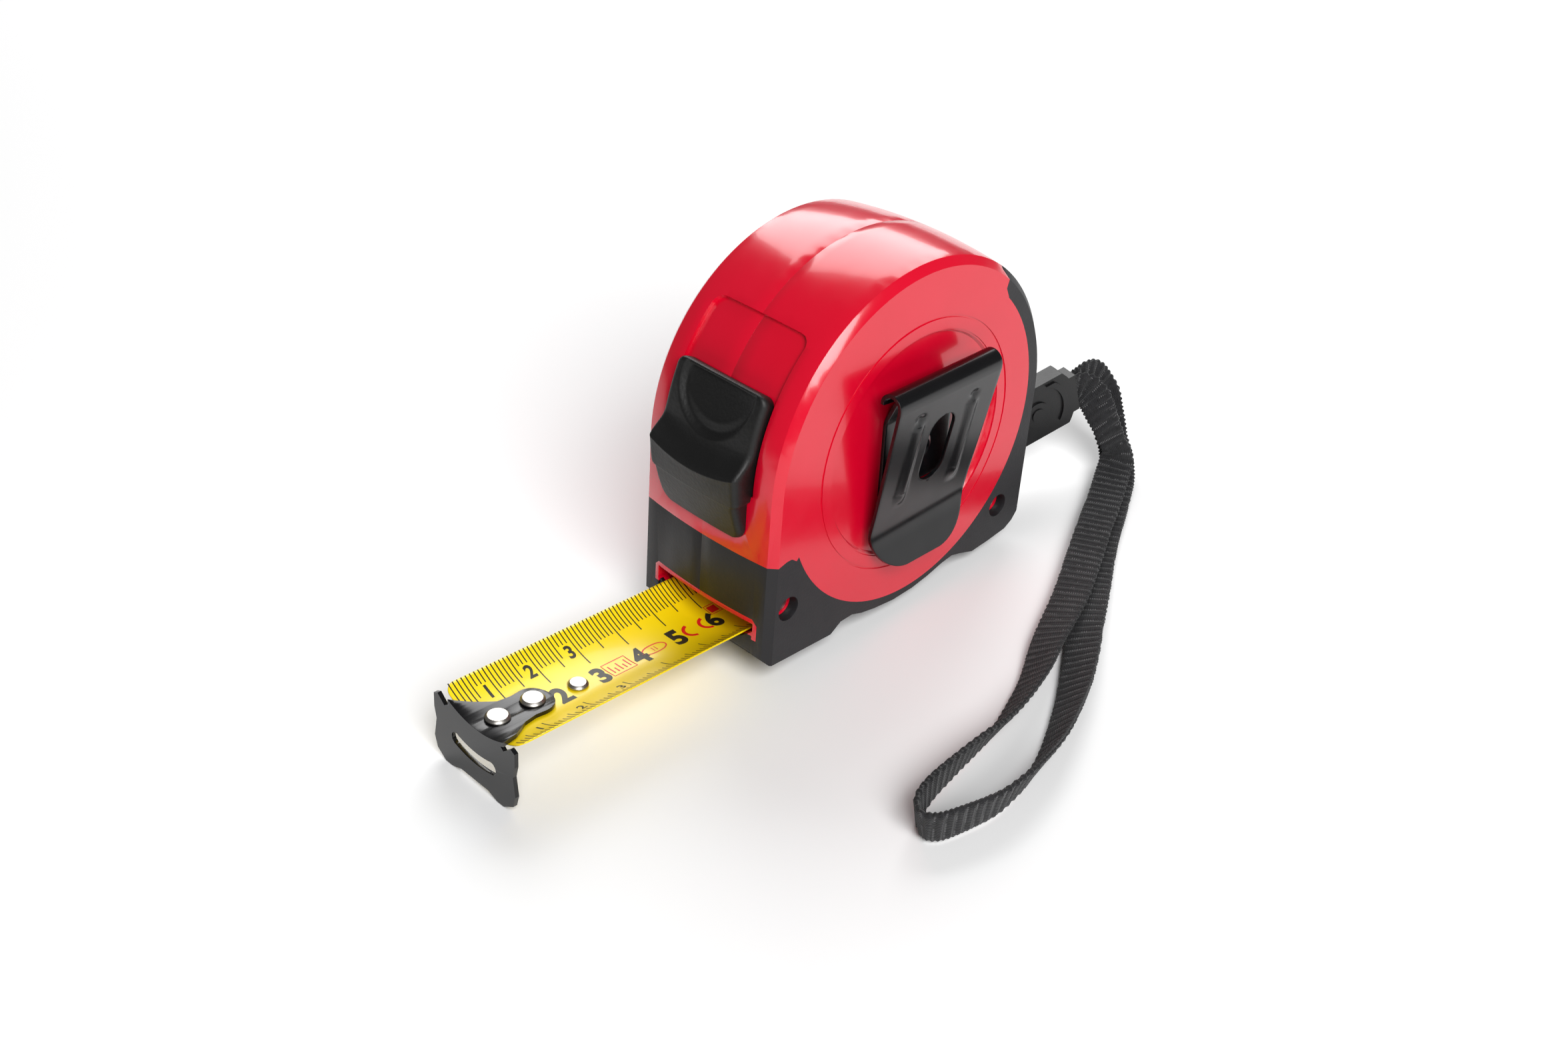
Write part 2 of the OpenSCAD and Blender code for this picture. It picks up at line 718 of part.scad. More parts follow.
// One ring of the flat section, round a point and square to the way that it runs
function strap_ring(p, way) =
  let (t = unit(way), left = unit([-t[1], t[0], 0]), up = cross(t, left),
       across = cos(p[3]) * left + sin(p[3]) * up, face = cross(t, across),
       w = strap_w / 2, h = strap_t / 2)
  [for (q = [[w, -h / 2], [w, h / 2], [w - h / 2, h], [h / 2 - w, h], [-w, h / 2],
             [-w, -h / 2], [h / 2 - w, -h], [w - h / 2, -h]])
    place_of(p) + q[0] * across + q[1] * face];

module wrist_strap() {
  path = [for (i = [0 : len(STRAP) - 2]) for (f = [0, 0.5]) along(i, f), along(len(STRAP) - 2, 1)];
  last = len(path) - 1;
  rings = [for (i = [0 : last])
    strap_ring(path[i], place_of(path[min(last, i + 1)] - path[max(0, i - 1)]))];
  color("dimgray") polyhedron(
    points = [for (r = rings) for (q = r) q],
    faces = concat(
      [[for (k = [0 : 7]) k]],
      [for (i = [0 : last - 1]) for (k = [0 : 7])
        [8 * i + k, 8 * i + 8 + k, 8 * i + 8 + (k + 1) % 8, 8 * i + (k + 1) % 8]],
      [[for (k = [7 : -1 : 0]) 8 * last + k]]));
}

case_left();
case_right();
bumper_left();
bumper_right();
hook_stop();
case_screws();
spindle();
clip_screw();
lanyard_pin();
belt_clip();
belt_clip_leaf();
drum();
drum_cover();
drum_washers();
wound_blade();
power_spring();
blade_feed();
blade();
blade_stiffener();
blade_rivets();
end_hook();
lock_button();
lock_arm();
brake_pad();
strap_clasp();
clasp_stud();
wrist_strap();
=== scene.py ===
"""Tape measure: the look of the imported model. Lengths are in mm until stand() or metres()."""
import math

import bmesh
import bpy
from mathutils import Matrix, Vector


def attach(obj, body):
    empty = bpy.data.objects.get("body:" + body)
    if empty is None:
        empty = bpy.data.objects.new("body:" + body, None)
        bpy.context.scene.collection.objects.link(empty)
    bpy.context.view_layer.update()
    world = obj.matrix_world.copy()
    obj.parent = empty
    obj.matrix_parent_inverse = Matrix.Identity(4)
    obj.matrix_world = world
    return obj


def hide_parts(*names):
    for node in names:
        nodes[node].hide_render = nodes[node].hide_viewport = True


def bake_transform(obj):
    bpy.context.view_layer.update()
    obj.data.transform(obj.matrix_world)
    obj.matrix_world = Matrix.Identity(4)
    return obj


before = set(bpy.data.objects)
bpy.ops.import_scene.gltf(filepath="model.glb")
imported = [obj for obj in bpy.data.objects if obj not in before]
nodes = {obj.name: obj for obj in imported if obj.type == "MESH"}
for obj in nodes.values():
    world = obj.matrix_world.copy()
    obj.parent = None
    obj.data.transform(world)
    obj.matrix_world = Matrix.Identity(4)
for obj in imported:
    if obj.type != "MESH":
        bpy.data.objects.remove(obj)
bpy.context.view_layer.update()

# ---------------------------------------------------------------- the case's own frame
# The solids' driving sizes: the case stands nose up, on its heel and on the blade's hook
HEEL_X, HOOK_X, HOOK_DROP = 32.0, -97.7, 10.8
AXIS_H = 37.8      # height of the drum's axis
BARREL_R = 41.2    # radius of the case's crowned rim, at its middle
NOSE_UP = math.atan2(HOOK_DROP, HEEL_X - HOOK_X)
STAND = Matrix.Rotation(NOSE_UP, 4, "Y") @ Matrix.Translation((-HEEL_X, 0, 0))


MM = 0.001


def metres(p):
    """A point in millimetres, in metres."""
    return Vector(p) * MM


def stand(p):
    """A point of the case's own frame, in the model's frame, in metres."""
    return metres(STAND @ Vector(p))


# ---------------------------------------------------------------- camera
def aim_camera(place, azimuth, elevation, roll, lens):
    """A camera at place that looks along the given angles, in degrees, with its lens in mm."""
    az, el = math.radians(azimuth), math.radians(elevation)
    back = Vector((math.sin(az) * math.cos(el), -math.cos(az) * math.cos(el), math.sin(el)))
    right = Vector((math.cos(az), math.sin(az), 0))
    turn = Matrix.Rotation(math.radians(roll), 3, back)
    axes = (turn @ right, turn @ back.cross(right), back)
    camera = bpy.data.objects.new("camera", bpy.data.cameras.new("camera"))
    camera.data.sensor_width = 36
    camera.data.lens = lens
    camera.data.clip_start, camera.data.clip_end = 0.01, 20
    camera.matrix_world = Matrix.LocRotScale(place, Matrix(axes).transposed().to_quaternion(), None)
    bpy.context.scene.collection.objects.link(camera)
    bpy.context.scene.camera = camera


aim_camera(metres((-274.2, -227.1, 247.2)), azimuth=-44.9, elevation=35.24, roll=0.326, lens=42.99)


# ---------------------------------------------------------------- node materials
class Look:
    """A material under construction: a Principled shader and short calls that add nodes."""

    def __init__(self, name, color, roughness, **sockets):
        self.material = bpy.data.materials.new(name)
        self.material.use_nodes = True
        self.tree = self.material.node_tree
        self.shader = self.tree.nodes["Principled BSDF"]
        self.shader.inputs["Base Color"].default_value = (*color, 1)
        self.shader.inputs["Roughness"].default_value = roughness
        for socket, value in sockets.items():
            self.shader.inputs[socket.replace("_", " ")].default_value = value

    def node(self, kind, inputs=None, **settings):
        """Adds a node; an input is a value or another node's output."""
        n = self.tree.nodes.new("ShaderNode" + kind)
        for key, value in settings.items():
            setattr(n, key, value)
        for key, value in (inputs or {}).items():
            if isinstance(value, bpy.types.NodeSocket):
                self.tree.links.new(value, n.inputs[key])
            else:
                n.inputs[key].default_value = value
        return n

    def math(self, operation, a, b=0.0):
        return self.node("Math", {0: a, 1: b}, operation=operation).outputs[0]

    def space(self, kind="Object"):
        return self.node("TexCoord").outputs[kind]

    def noise(self, scale, detail, where=None):
        return self.node("TexNoise", {"Vector": where or self.space(), "Scale": scale,
                                      "Detail": detail}).outputs["Fac"]

    def ramp(self, value, stops):
        """Two colours, each at its place from 0 to 1, blended by value."""
        n = self.node("ValToRGB", {"Fac": value})
        for element, (at, color) in zip(n.color_ramp.elements, stops):
            element.position, element.color = at, (*color, 1)
        return n.outputs["Color"]

    def span(self, value, low, high):
        inputs = {"Value": value, "To Min": low, "To Max": high}
        return self.node("MapRange", inputs).outputs["Result"]

    def link(self, socket, value):
        self.tree.links.new(value, self.shader.inputs[socket])

    def bump(self, height, distance, strength):
        inputs = {"Height": height, "Distance": distance, "Strength": strength}
        self.link("Normal", self.node("Bump", inputs).outputs["Normal"])


def srgb(r, g, b):
    """A colour given as it looks, 0 to 255, in linear light."""
    return tuple((c / 255 / 12.92) if c <= 10 else ((c / 255 + 0.055) / 1.055) ** 2.4
                 for c in (r, g, b))


def gloss_red():
    look = Look("gloss_red", srgb(222, 6, 44), 0.2, Coat_Weight=0.35, Coat_Roughness=0.08,
                Specular_IOR_Level=0.5)
    cloud = look.noise(55, 3)
    look.link("Base Color", look.ramp(cloud, [(0.3, srgb(210, 2, 38)), (0.75, srgb(217, 5, 43))]))
    specks = look.noise(2600, 2)
    look.link("Roughness", look.span(look.noise(240, 4), 0.16, 0.27))
    swell = look.math("ADD", look.math("MULTIPLY", specks, 0.25), look.noise(320, 2))
    look.bump(swell, 0.00004, 0.35)
    return look.material


def grained_rubber(name, color, grain, rough, depth):
    look = Look(name, color, rough, Specular_IOR_Level=0.45)
    dust = look.noise(grain * 1.6, 3)
    cells = look.node("TexVoronoi", {"Vector": look.space(), "Scale": grain}).outputs["Distance"]
    look.link("Roughness", look.span(look.noise(120, 3), rough - 0.06, rough + 0.08))
    look.link("Base Color", look.ramp(look.noise(90, 4),
              [(0.3, tuple(c * 0.88 for c in color)), (0.8, tuple(c * 1.15 for c in color))]))
    look.bump(look.math("ADD", cells, look.math("MULTIPLY", dust, 0.8)), depth, 0.5)
    return look.material


def black_enamel():
    look = Look("black_enamel", srgb(12, 12, 14), 0.2)
    look.link("Roughness", look.span(look.noise(150, 4), 0.17, 0.3))
    look.bump(look.noise(260, 2), 0.00003, 0.25)
    return look.material


def yellow_lacquer():
    look = Look("yellow_lacquer", srgb(246, 208, 4), 0.34, Coat_Weight=0.25, Coat_Roughness=0.12)
    look.link("Base Color", look.ramp(look.noise(70, 4),
              [(0.25, srgb(247, 212, 2)), (0.8, srgb(252, 222, 14))]))
    look.link("Roughness", look.span(look.noise(500, 3), 0.28, 0.42))
    look.bump(look.noise(1400, 2), 0.00001, 0.3)
    return look.material


def print_ink(name, color):
    look = Look(name, color, 0.42)
    look.link("Roughness", look.span(look.noise(2200, 2), 0.36, 0.5))
    look.link("Base Color", look.ramp(look.noise(3000, 2),
              [(0.2, color), (0.95, tuple(c * 1.25 + 0.01 for c in color))]))
    return look.material


def turned_metal(name, color, rough):
    look = Look(name, color, rough, Metallic=1.0)
    stretched = look.node("Mapping", {"Vector": look.space(), "Scale": (1, 40, 1)}).outputs[0]
    lines = look.noise(260, 3, stretched)
    look.link("Roughness", look.span(lines, rough - 0.07, rough + 0.14))
    look.bump(look.math("ADD", lines, look.noise(700, 2)), 0.00002, 0.3)
    return look.material


def plain_plastic(name, color, rough):
    look = Look(name, color, rough)
    look.link("Roughness", look.span(look.noise(160, 4), rough - 0.06, rough + 0.06))
    look.bump(look.noise(900, 2), 0.00002, 0.3)
    return look.material


RED = gloss_red()
RUBBER = grained_rubber("overmould_rubber", srgb(27, 26, 29), 1500, 0.5, 0.00003)
GRIP = grained_rubber("thumb_grip", srgb(11, 11, 11), 1200, 0.5, 0.00006)
MOULDED = grained_rubber("moulded_black", srgb(13, 13, 14), 2200, 0.4, 0.00002)
ENAMEL = black_enamel()
YELLOW = yellow_lacquer()
STEEL = turned_metal("turned_steel", (0.44, 0.42, 0.39), 0.34)
BRASS = turned_metal("washer_brass", (0.62, 0.44, 0.18), 0.3)
DRUM = plain_plastic("drum_plastic", srgb(196, 196, 190), 0.45)
FELT = grained_rubber("brake_rubber", srgb(70, 48, 34), 500, 0.8, 0.0001)


# ---------------------------------------------------------------- building pieces
def piece(name, points, faces, material, body, smooth=True):
    """A mesh piece in the model's frame, points in metres, that rides on a body (None: on no body).
    """
    mesh = bpy.data.meshes.new(name)
    mesh.from_pydata([tuple(p) for p in points], [], faces)
    mesh.validate()
    obj = bpy.data.objects.new(name, mesh)
    bpy.context.scene.collection.objects.link(obj)
    bm = bmesh.new()
    bm.from_mesh(mesh)
    bmesh.ops.recalc_face_normals(bm, faces=bm.faces)
    bm.to_mesh(mesh)
    bm.free()
    mesh.polygons.foreach_set("use_smooth", [smooth] * len(mesh.polygons))
    mesh.materials.append(material)
    if body:
        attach(obj, body)
    return obj


def round_edges(obj, width, angle=30):
    """A bevel modifier for small rounded edges: width in mm, angle the least that is rounded."""
    bevel = obj.modifiers.new("edges", "BEVEL")
    bevel.width, bevel.segments = width * MM, 2
    bevel.limit_method, bevel.angle_limit = "ANGLE", math.radians(angle)
    return bevel


def solid_mesh(obj):
    """The mesh that an object has after its modifiers."""
    bpy.context.view_layer.update()
    return bpy.data.meshes.new_from_object(
        obj.evaluated_get(bpy.context.evaluated_depsgraph_get()))


def ease(value):
    """The value, held between 0 and 1."""
    return min(1, max(0, value))


def spline(points, steps):
    """Catmull-Rom curve through the points, steps to each stretch."""
    rows = [Vector(p) for p in points]
    out = []
    for i in range(len(rows) - 1):
        p0, p1 = rows[max(i - 1, 0)], rows[i]
        p2, p3 = rows[i + 1], rows[min(i + 2, len(rows) - 1)]
        for k in range(steps):
            f = k / steps
            out.append(0.5 * (2 * p1 + (p2 - p0) * f + (2 * p0 - 5 * p1 + 4 * p2 - p3) * f ** 2
                              + (3 * p1 - p0 - 3 * p2 + p3) * f ** 3))
    return out + [rows[-1]]


# ---------------------------------------------------------------- wrist strap
# Its route as the solids have it: x, y, z in mm and the lean of the webbing in degrees
STRAP = [
    (32, -7.7, 19.5, 90), (38.8, -9.4, 21.1, 90), (42.2, -11.4, 18.8, 74),
    (43.8, -14, 13.5, 42), (44.4, -16.8, 8.5, 8), (43.4, -19.8, 5, -8), (38.5, -22.4, 3.4, -4),
    (30, -26.8, 2.8, 0), (18.5, -32.4, 2.7, 0), (8, -37.8, 2.7, 0), (-5.5, -44.5, 2.8, 8),
    (-20.5, -50.8, 3.3, 24), (-31.5, -56, 3.4, 40), (-41.5, -59.5, 3.7, 50),
    (-49.5, -61.5, 3.9, 60), (-56.5, -62.3, 4.2, 70), (-64.5, -63.2, 4.5, 78),
    (-72.5, -64.2, 4.5, 86), (-78, -66, 4.5, 94), (-80.8, -69, 4.6, 100),
    (-80, -71.4, 4.5, 98), (-76.5, -73.2, 4.5, 97), (-67.5, -75.5, 4.5, 103),
    (-61, -75.5, 4.4, 108), (-54.5, -74.5, 4.2, 114), (-44.5, -71.5, 3.7, 128),
    (-31.5, -65.4, 3, 143), (-21, -59.3, 2.5, 155), (-10.5, -52.5, 1.8, 167),
    (3, -44.2, 1.1, 176), (12.5, -38.2, 0.9, 180), (24, -31.8, 0.9, 180), (35, -25.8, 1, 180),
    (41, -22.2, 1.6, 180), (45.6, -18, 3.6, 176), (47.2, -14.8, 7.2, 168),
    (48.6, -12, 11.5, 150), (48.8, -10, 16.5, 125), (46.8, -8.8, 20.4, 105),
    (43.6, -8.3, 21.8, 95), (39.2, -7.8, 21.1, 90), (32.4, -6.1, 19.4, 90),
]
STRAP_W, STRAP_T = 8.0, 1.4
RIB = 2.1          # from one rib of the weave to the next
FACE_GAP = 8       # the webbing's second face lies this far over in its texture space


def webbing():
    look = Look("webbing", srgb(26, 26, 28), 0.85, Sheen_Weight=0.15, Sheen_Roughness=0.4)
    uv = look.node("SeparateXYZ", {"Vector": look.space("UV")})
    along, across = uv.outputs[0], uv.outputs[1]
    rib = look.math("FRACT", look.math("DIVIDE", along, RIB))
    lane = look.math("ADD", look.math("DIVIDE", across, 0.5), look.math("MULTIPLY", rib, 0.5))
    dash = look.math("FRACT", lane)

    def middle(fraction, reach):
        away = look.math("ABSOLUTE", look.math("SUBTRACT", fraction, 0.5))
        return look.math("LESS_THAN", away, reach)

    # pale thread ends, in patches, where two ribs meet
    patch = look.math("GREATER_THAN", look.noise(420, 3), 0.52)
    ends = look.math("MULTIPLY", middle(rib, 0.09), middle(dash, 0.2))
    fleck = look.math("MULTIPLY", ends, patch)
    fibre = look.noise(1500, 4)
    base = look.ramp(fibre, [(0.25, srgb(8, 8, 9)), (0.8, srgb(34, 34, 37))])
    color = look.node("Mix", {"Factor": look.math("MULTIPLY", fleck, 0.55), "A": base,
                              "B": (*srgb(120, 119, 120), 1)}, data_type="RGBA")
    look.link("Base Color", color.outputs["Result"])
    thread = look.math("ABSOLUTE", look.math("SINE", look.math("MULTIPLY", lane, math.pi)))
    wave = look.math("SINE", look.math("MULTIPLY", along, 2 * math.pi / 0.7))
    height = look.math("ADD", thread, look.math("ADD", look.math("MULTIPLY", wave, 0.25),
                                                look.math("MULTIPLY", fibre, 0.9)))
    look.bump(height, 0.00016, 0.6)
    return look.material


def build_strap():
    steps, lanes = 26, 12
    path = spline([(x, y, z) for x, y, z, _ in STRAP], steps)
    leans = [math.radians(v.x) for v in spline([(lean, 0, 0) for *_, lean in STRAP], steps)]
    runs = [0.0]
    for a, b in zip(path, path[1:]):
        runs.append(runs[-1] + (b - a).length)
    # the section, as (across, face) from -1 to 1: two faces and two round edges
    section = [(1 - 2 * k / lanes, 1) for k in range(lanes + 1)]
    section += [(-1, 0)] + [(2 * k / lanes - 1, -1) for k in range(lanes + 1)] + [(1, 0)]
    points, uvs = [], []
    for i, (p, lean, run) in enumerate(zip(path, leans, runs)):
        way = (path[min(i + 1, len(path) - 1)] - path[max(i - 1, 0)]).normalized()
        left = Vector((-way.y, way.x, 0)).normalized()
        up = way.cross(left)
        across = math.cos(lean) * left + math.sin(lean) * up
        face = way.cross(across)
        phase = 2 * math.pi * run / RIB
        half = STRAP_W / 2 - 0.2 + 0.2 * math.cos(2 * phase)
        for k, (a, f) in enumerate(section):
            edge = abs(a) > 0.999
            thick = STRAP_T / 2 * (0.5 if edge else 0.74 + 0.26 * math.cos(phase))
            reach = half * a + (0.0 if not edge or f else math.copysign(0.12, a))
            points.append(metres(p + across * reach + face * thick * f))
            uvs.append((run, a * STRAP_W / 2 + (FACE_GAP if f < 0 else 0)))
    n = len(section)
    faces = [(i * n + k, (i + 1) * n + k, (i + 1) * n + (k + 1) % n, i * n + (k + 1) % n)
             for i in range(len(path) - 1) for k in range(n)]
    faces += [tuple(range(n)), tuple(range((len(path) - 1) * n, len(path) * n))]
    strap = piece("wrist_strap_webbing", points, faces, webbing(), "clasp")
    layer = strap.data.uv_layers.new(name="weave")
    for loop in strap.data.loops:
        layer.data[loop.index].uv = uvs[loop.vertex_index]
    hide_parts("wrist_strap")


build_strap()

# ---------------------------------------------------------------- blade and its print
BLADE_R, BLADE_T, BLADE_LOW = 20.7, 0.3, 1.74
BEND_H = BLADE_LOW + BLADE_R
HALF_ARC = BLADE_R * math.asin(11.75 / BLADE_R)
BLADE_END, BLADE_TAIL = HOOK_X + 1.5, -22.6
ZERO_X = -97.3     # the scale's zero
LINE_W = 0.27      # width of a graduation line
INK = (0.02, -0.02)    # print stands this far over and under the blade's face


def on_blade(x, v, lift):
    """A point on the blade's hollow face: v is the arc from its middle, lift the height over it."""
    a = v / BLADE_R
    return stand((x, (BLADE_R - lift) * math.sin(a), BEND_H - (BLADE_R - lift) * math.cos(a)))


def sheet_faces(rows, cols, offset=0):
    """Faces of one sheet of rows x cols points."""
    return [(offset + i * cols + k, offset + (i + 1) * cols + k,
             offset + (i + 1) * cols + k + 1, offset + i * cols + k + 1)
            for i in range(rows - 1) for k in range(cols - 1)]


def closed_sheet(rows, cols):
    """Faces of two sheets of rows x cols points, joined round their edge."""
    n = rows * cols
    faces = sheet_faces(rows, cols) + [tuple(reversed(f)) for f in sheet_faces(rows, cols, n)]
    rim = [k for k in range(cols)] + [i * cols + cols - 1 for i in range(1, rows)]
    rim += [(rows - 1) * cols + k for k in range(cols - 2, -1, -1)]
    rim += [i * cols for i in range(rows - 2, 0, -1)]
    for a, b in zip(rim, rim[1:] + rim[:1]):
        faces.append((a, b, b + n, a + n))
    return faces


def build_blade():
    xs = [BLADE_END + 0.12 * k for k in range(20)]
    xs += [xs[-1] + (BLADE_TAIL - xs[-1]) * (k + 1) / 40 for k in range(40)]
    cols, corner = 41, 2.2
    points = []
    for lift in (0.0, -BLADE_T):
        for x in xs:
            d = min(x - BLADE_END, corner)
            half = HALF_ARC - (corner - math.sqrt(corner ** 2 - (corner - d) ** 2))
            points += [on_blade(x, half * (2 * k / (cols - 1) - 1), lift) for k in range(cols)]
    faces = closed_sheet(len(xs), cols)
    blade = piece("blade_strip", points, faces, YELLOW, "blade")
    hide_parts("blade")


def print_bar(points, faces, x0, x1, v0, v1):
    """Adds one printed bar between two places along the blade and two across it."""
    steps = max(2, int(abs(v1 - v0) / 0.6))
    n = len(points)
    for lift in INK:
        for i in range(steps + 1):
            v = v0 + (v1 - v0) * i / steps
            points += [on_blade(x0, v, lift), on_blade(x1, v, lift)]
    faces += [tuple(n + k for k in f) for f in closed_sheet(steps + 1, 2)]


def print_line(points, faces, line, width):
    """Adds a closed printed line of even width through flat points (x, v)."""
    count = len(line)
    n = len(points)
    for lift in INK:
        for i in range(count):
            a, b = line[(i - 1) % count], line[(i + 1) % count]
            t = Vector((b[0] - a[0], b[1] - a[1])).normalized()
            for side in (-0.5, 0.5):
                points.append(on_blade(line[i][0] - t.y * width * side,
                                       line[i][1] + t.x * width * side, lift))
    m = 2 * count
    for i in range(count):
        j = (i + 1) % count
        a, b, c, d = n + 2 * i, n + 2 * i + 1, n + 2 * j + 1, n + 2 * j
        faces += [(a, b, c, d), (a + m, d + m, c + m, b + m)]
        faces += [(a, d, d + m, a + m), (b, b + m, c + m, c)]


def print_box(points, faces, x0, x1, v0, v1, width):
    """Adds a printed box outline, with a point at the middle of each side."""
    x, v = (x0 + x1) / 2, (v0 + v1) / 2
    line = [(x0, v0), (x, v0), (x1, v0), (x1, v), (x1, v1), (x, v1), (x0, v1), (x0, v)]
    print_line(points, faces, line, width)


def print_arc(points, faces, x, v, outer, inner):
    """Adds a printed arc, open towards the case."""
    steps = 14
    n = len(points)
    for lift in INK:
        for k in range(steps + 1):
            a = math.radians(100 + 160 * k / steps)
            points += [on_blade(x + r * math.cos(a), v + r * math.sin(a), lift)
                       for r in (outer, inner)]
    faces += [tuple(n + k for k in f) for f in closed_sheet(steps + 1, 2)]


def figure(text, x, v, height, weight):
    """A printed number, its middle at (x, v), as points and faces on the blade."""
    curve = bpy.data.curves.new("figure", "FONT")
    curve.body, curve.size, curve.offset = text, 1.0, weight
    curve.fill_mode = "FRONT"
    curve.align_x = "CENTER"
    obj = bpy.data.objects.new("figure", curve)
    bpy.context.scene.collection.objects.link(obj)
    mesh = solid_mesh(obj)
    bpy.data.objects.remove(obj)
    bm = bmesh.new()
    bm.from_mesh(mesh)
    bpy.data.meshes.remove(mesh)
    bmesh.ops.remove_doubles(bm, verts=bm.verts, dist=1e-5)
    low, high = min(p.co.y for p in bm.verts), max(p.co.y for p in bm.verts)
    left, right = min(p.co.x for p in bm.verts), max(p.co.x for p in bm.verts)
    scale, narrow = height / (high - low), 0.9
    for p in bm.verts:
        p.co = Vector(((p.co.x - (left + right) / 2) * scale * narrow,
                       (p.co.y - (low + high) / 2) * scale, 0))
    # cut across, so that it bends with the blade
    cuts = int(height / 0.5)
    for k in range(1, cuts):
        geometry = bm.verts[:] + bm.edges[:] + bm.faces[:]
        bmesh.ops.bisect_plane(bm, geom=geometry, plane_co=(0, height * (k / cuts - 0.5), 0),
                               plane_no=(0, 1, 0))
    bmesh.ops.triangulate(bm, faces=bm.faces)
    upper = bmesh.ops.extrude_face_region(bm, geom=bm.faces[:])["geom"]
    for p in upper:
        if isinstance(p, bmesh.types.BMVert):
            p.co.z = 1
    bm.verts.index_update()
    points = [on_blade(x + p.co.x, v + p.co.y, INK[0] if p.co.z > 0.5 else INK[1])
              for p in bm.verts]
    faces = [tuple(p.index for p in f.verts) for f in bm.faces]
    bm.free()
    return points, faces


def build_scale():
    """The graduation lines of both edges, and the numbers."""
    points, faces = [], []
    edge, half = HALF_ARC - 0.03, LINE_W / 2
    for mm in range(2, 74):
        x = ZERO_X + mm
        if mm % 10 == 0:
            far, near = 3.0, -6.8
        elif mm % 5 == 0:
            far, near = 4.9, -8.4
        else:
            far, near = 6.9, -9.6
        # the small figures stand in gaps that the short lines leave
        if mm < 30 and mm % 10 in (7, 8, 9):
            far, near = 9.5, -10.6
        print_bar(points, faces, x - half, x + half, far, edge)
        print_bar(points, faces, x - half * 0.8, x + half * 0.8, -edge, near)
    for cm in range(1, 8):
        # place before the line, place across, height and weight of each figure
        figures = [(0.9, -1.4, 5.6, 0.043)] if cm > 1 else []
        if cm < 4:
            figures += [(1.75, 7.45, 3.3, 0.03), (1.7, -8.6, 2.4, 0.02)]
        for before, v, height, weight in figures:
            p, f = figure(str(cm), ZERO_X + (cm * 10 - before), v, height, weight)
            faces += [tuple(len(points) + k for k in face) for face in f]
            points += p
    piece("blade_scale", points, faces, print_ink("scale_ink", srgb(30, 30, 14)), "blade",
          smooth=False)


def build_marks():
    """Plain shapes where the real blade has its approval marks, without lettering."""
    points, faces = [], []
    print_box(points, faces, -66.4, -60.6, -3.5, 1.0, 0.24)
    for k in range(5):
        print_bar(points, faces, -65.6 + k, -65.3 + k, -2.6, (0.1, -1.0)[k % 2])
    oval_x, oval_v = -54.2, -1.2
    oval = []
    for k in range(40):
        c, s = math.cos(2 * math.pi * k / 40), math.sin(2 * math.pi * k / 40)
        oval.append((oval_x + 2.5 * c + 0.45 * math.copysign(min(1, abs(3 * c)), c),
                     oval_v + 1.35 * s))
    print_line(points, faces, oval, 0.3)
    for dx in (-0.45, 0.3):
        print_bar(points, faces, oval_x + dx, oval_x + 0.2 + dx, oval_v - 0.7, oval_v + 0.7)
    for x in (-43.8, -39.5):
        print_arc(points, faces, x, -1.4, 2.4, 1.65)
    print_box(points, faces, -37, -34, 0.2, 3, 0.2)
    print_bar(points, faces, -36.6, -34.4, 0.6, 2.6)
    piece("blade_marks", points, faces, print_ink("mark_ink", srgb(214, 26, 18)), "blade",
          smooth=False)


build_blade()
build_scale()
build_marks()

# ---------------------------------------------------------------- thumb lock
LOCK_HALF = 12.4                      # half its width
LOCK_TOP, LOCK_FOOT = 28.3, -14.8     # its ends, in degrees above the horizontal at the front
RIDGE_AT = 4.8                        # its ridge's crest
# radius and angle of its middle line, from its top end down to its foot
LOCK_LINE = [(42.3, LOCK_TOP), (43.0, 27.9), (43.25, 27.0), (43.1, 24), (43, 20),
             (42.9, 16), (42.9, 12.8), (43.1, 11.2), (43.6, 9.6), (44.5, 7.9), (45.5, 6.3),
             (46.0, 5.3), (46.12, 4.95), (46.06, 4.6), (45.85, 3.4), (45.5, 0.6),
             (45.2, -1.8), (45.1, -2.4), (44.85, -3.0), (44.0, -8.4), (43.3, -13.4),
             (43.15, -14.3), (42.75, LOCK_FOOT)]
# the case's rim is crowned: its edges, 17.4 mm from the middle, stand 1.2 mm lower
CROWN_R = (17.4 ** 2 + 1.2 ** 2) / (2 * 1.2)


def barrel_r(u):
    """Radius of the case's rim at u mm from its middle."""
    return BARREL_R - CROWN_R + math.sqrt(CROWN_R ** 2 - u ** 2)


def polar(r, degrees, u):
    """A point at radius r, that many degrees above the horizontal at the front."""
    a = math.radians(degrees)
    return stand((-r * math.cos(a), u, AXIS_H + r * math.sin(a)))


def dish_depth(u, angle):
    """How deep the thumb dish is: a sloping band round a bowl."""
    s = math.radians(angle - 24.6) * 43
    depth = min(max(0.0, 10.2 - math.hypot(u, s)) * 0.75, 1.05)
    bowl = math.hypot(u * 0.98, s - 1.9) / 8.6
    if bowl < 1:
        depth += 1.1 * (1 - bowl ** 2) ** 0.8
    return depth * ease((27.7 - angle) / 0.6)


def corner_inset(distance, radius):
    """How far a rounded corner draws an edge in, at a distance from the corner's end."""
    if distance >= radius:
        return 0.0
    return radius - math.sqrt(max(0.0, radius ** 2 - (radius - distance) ** 2))


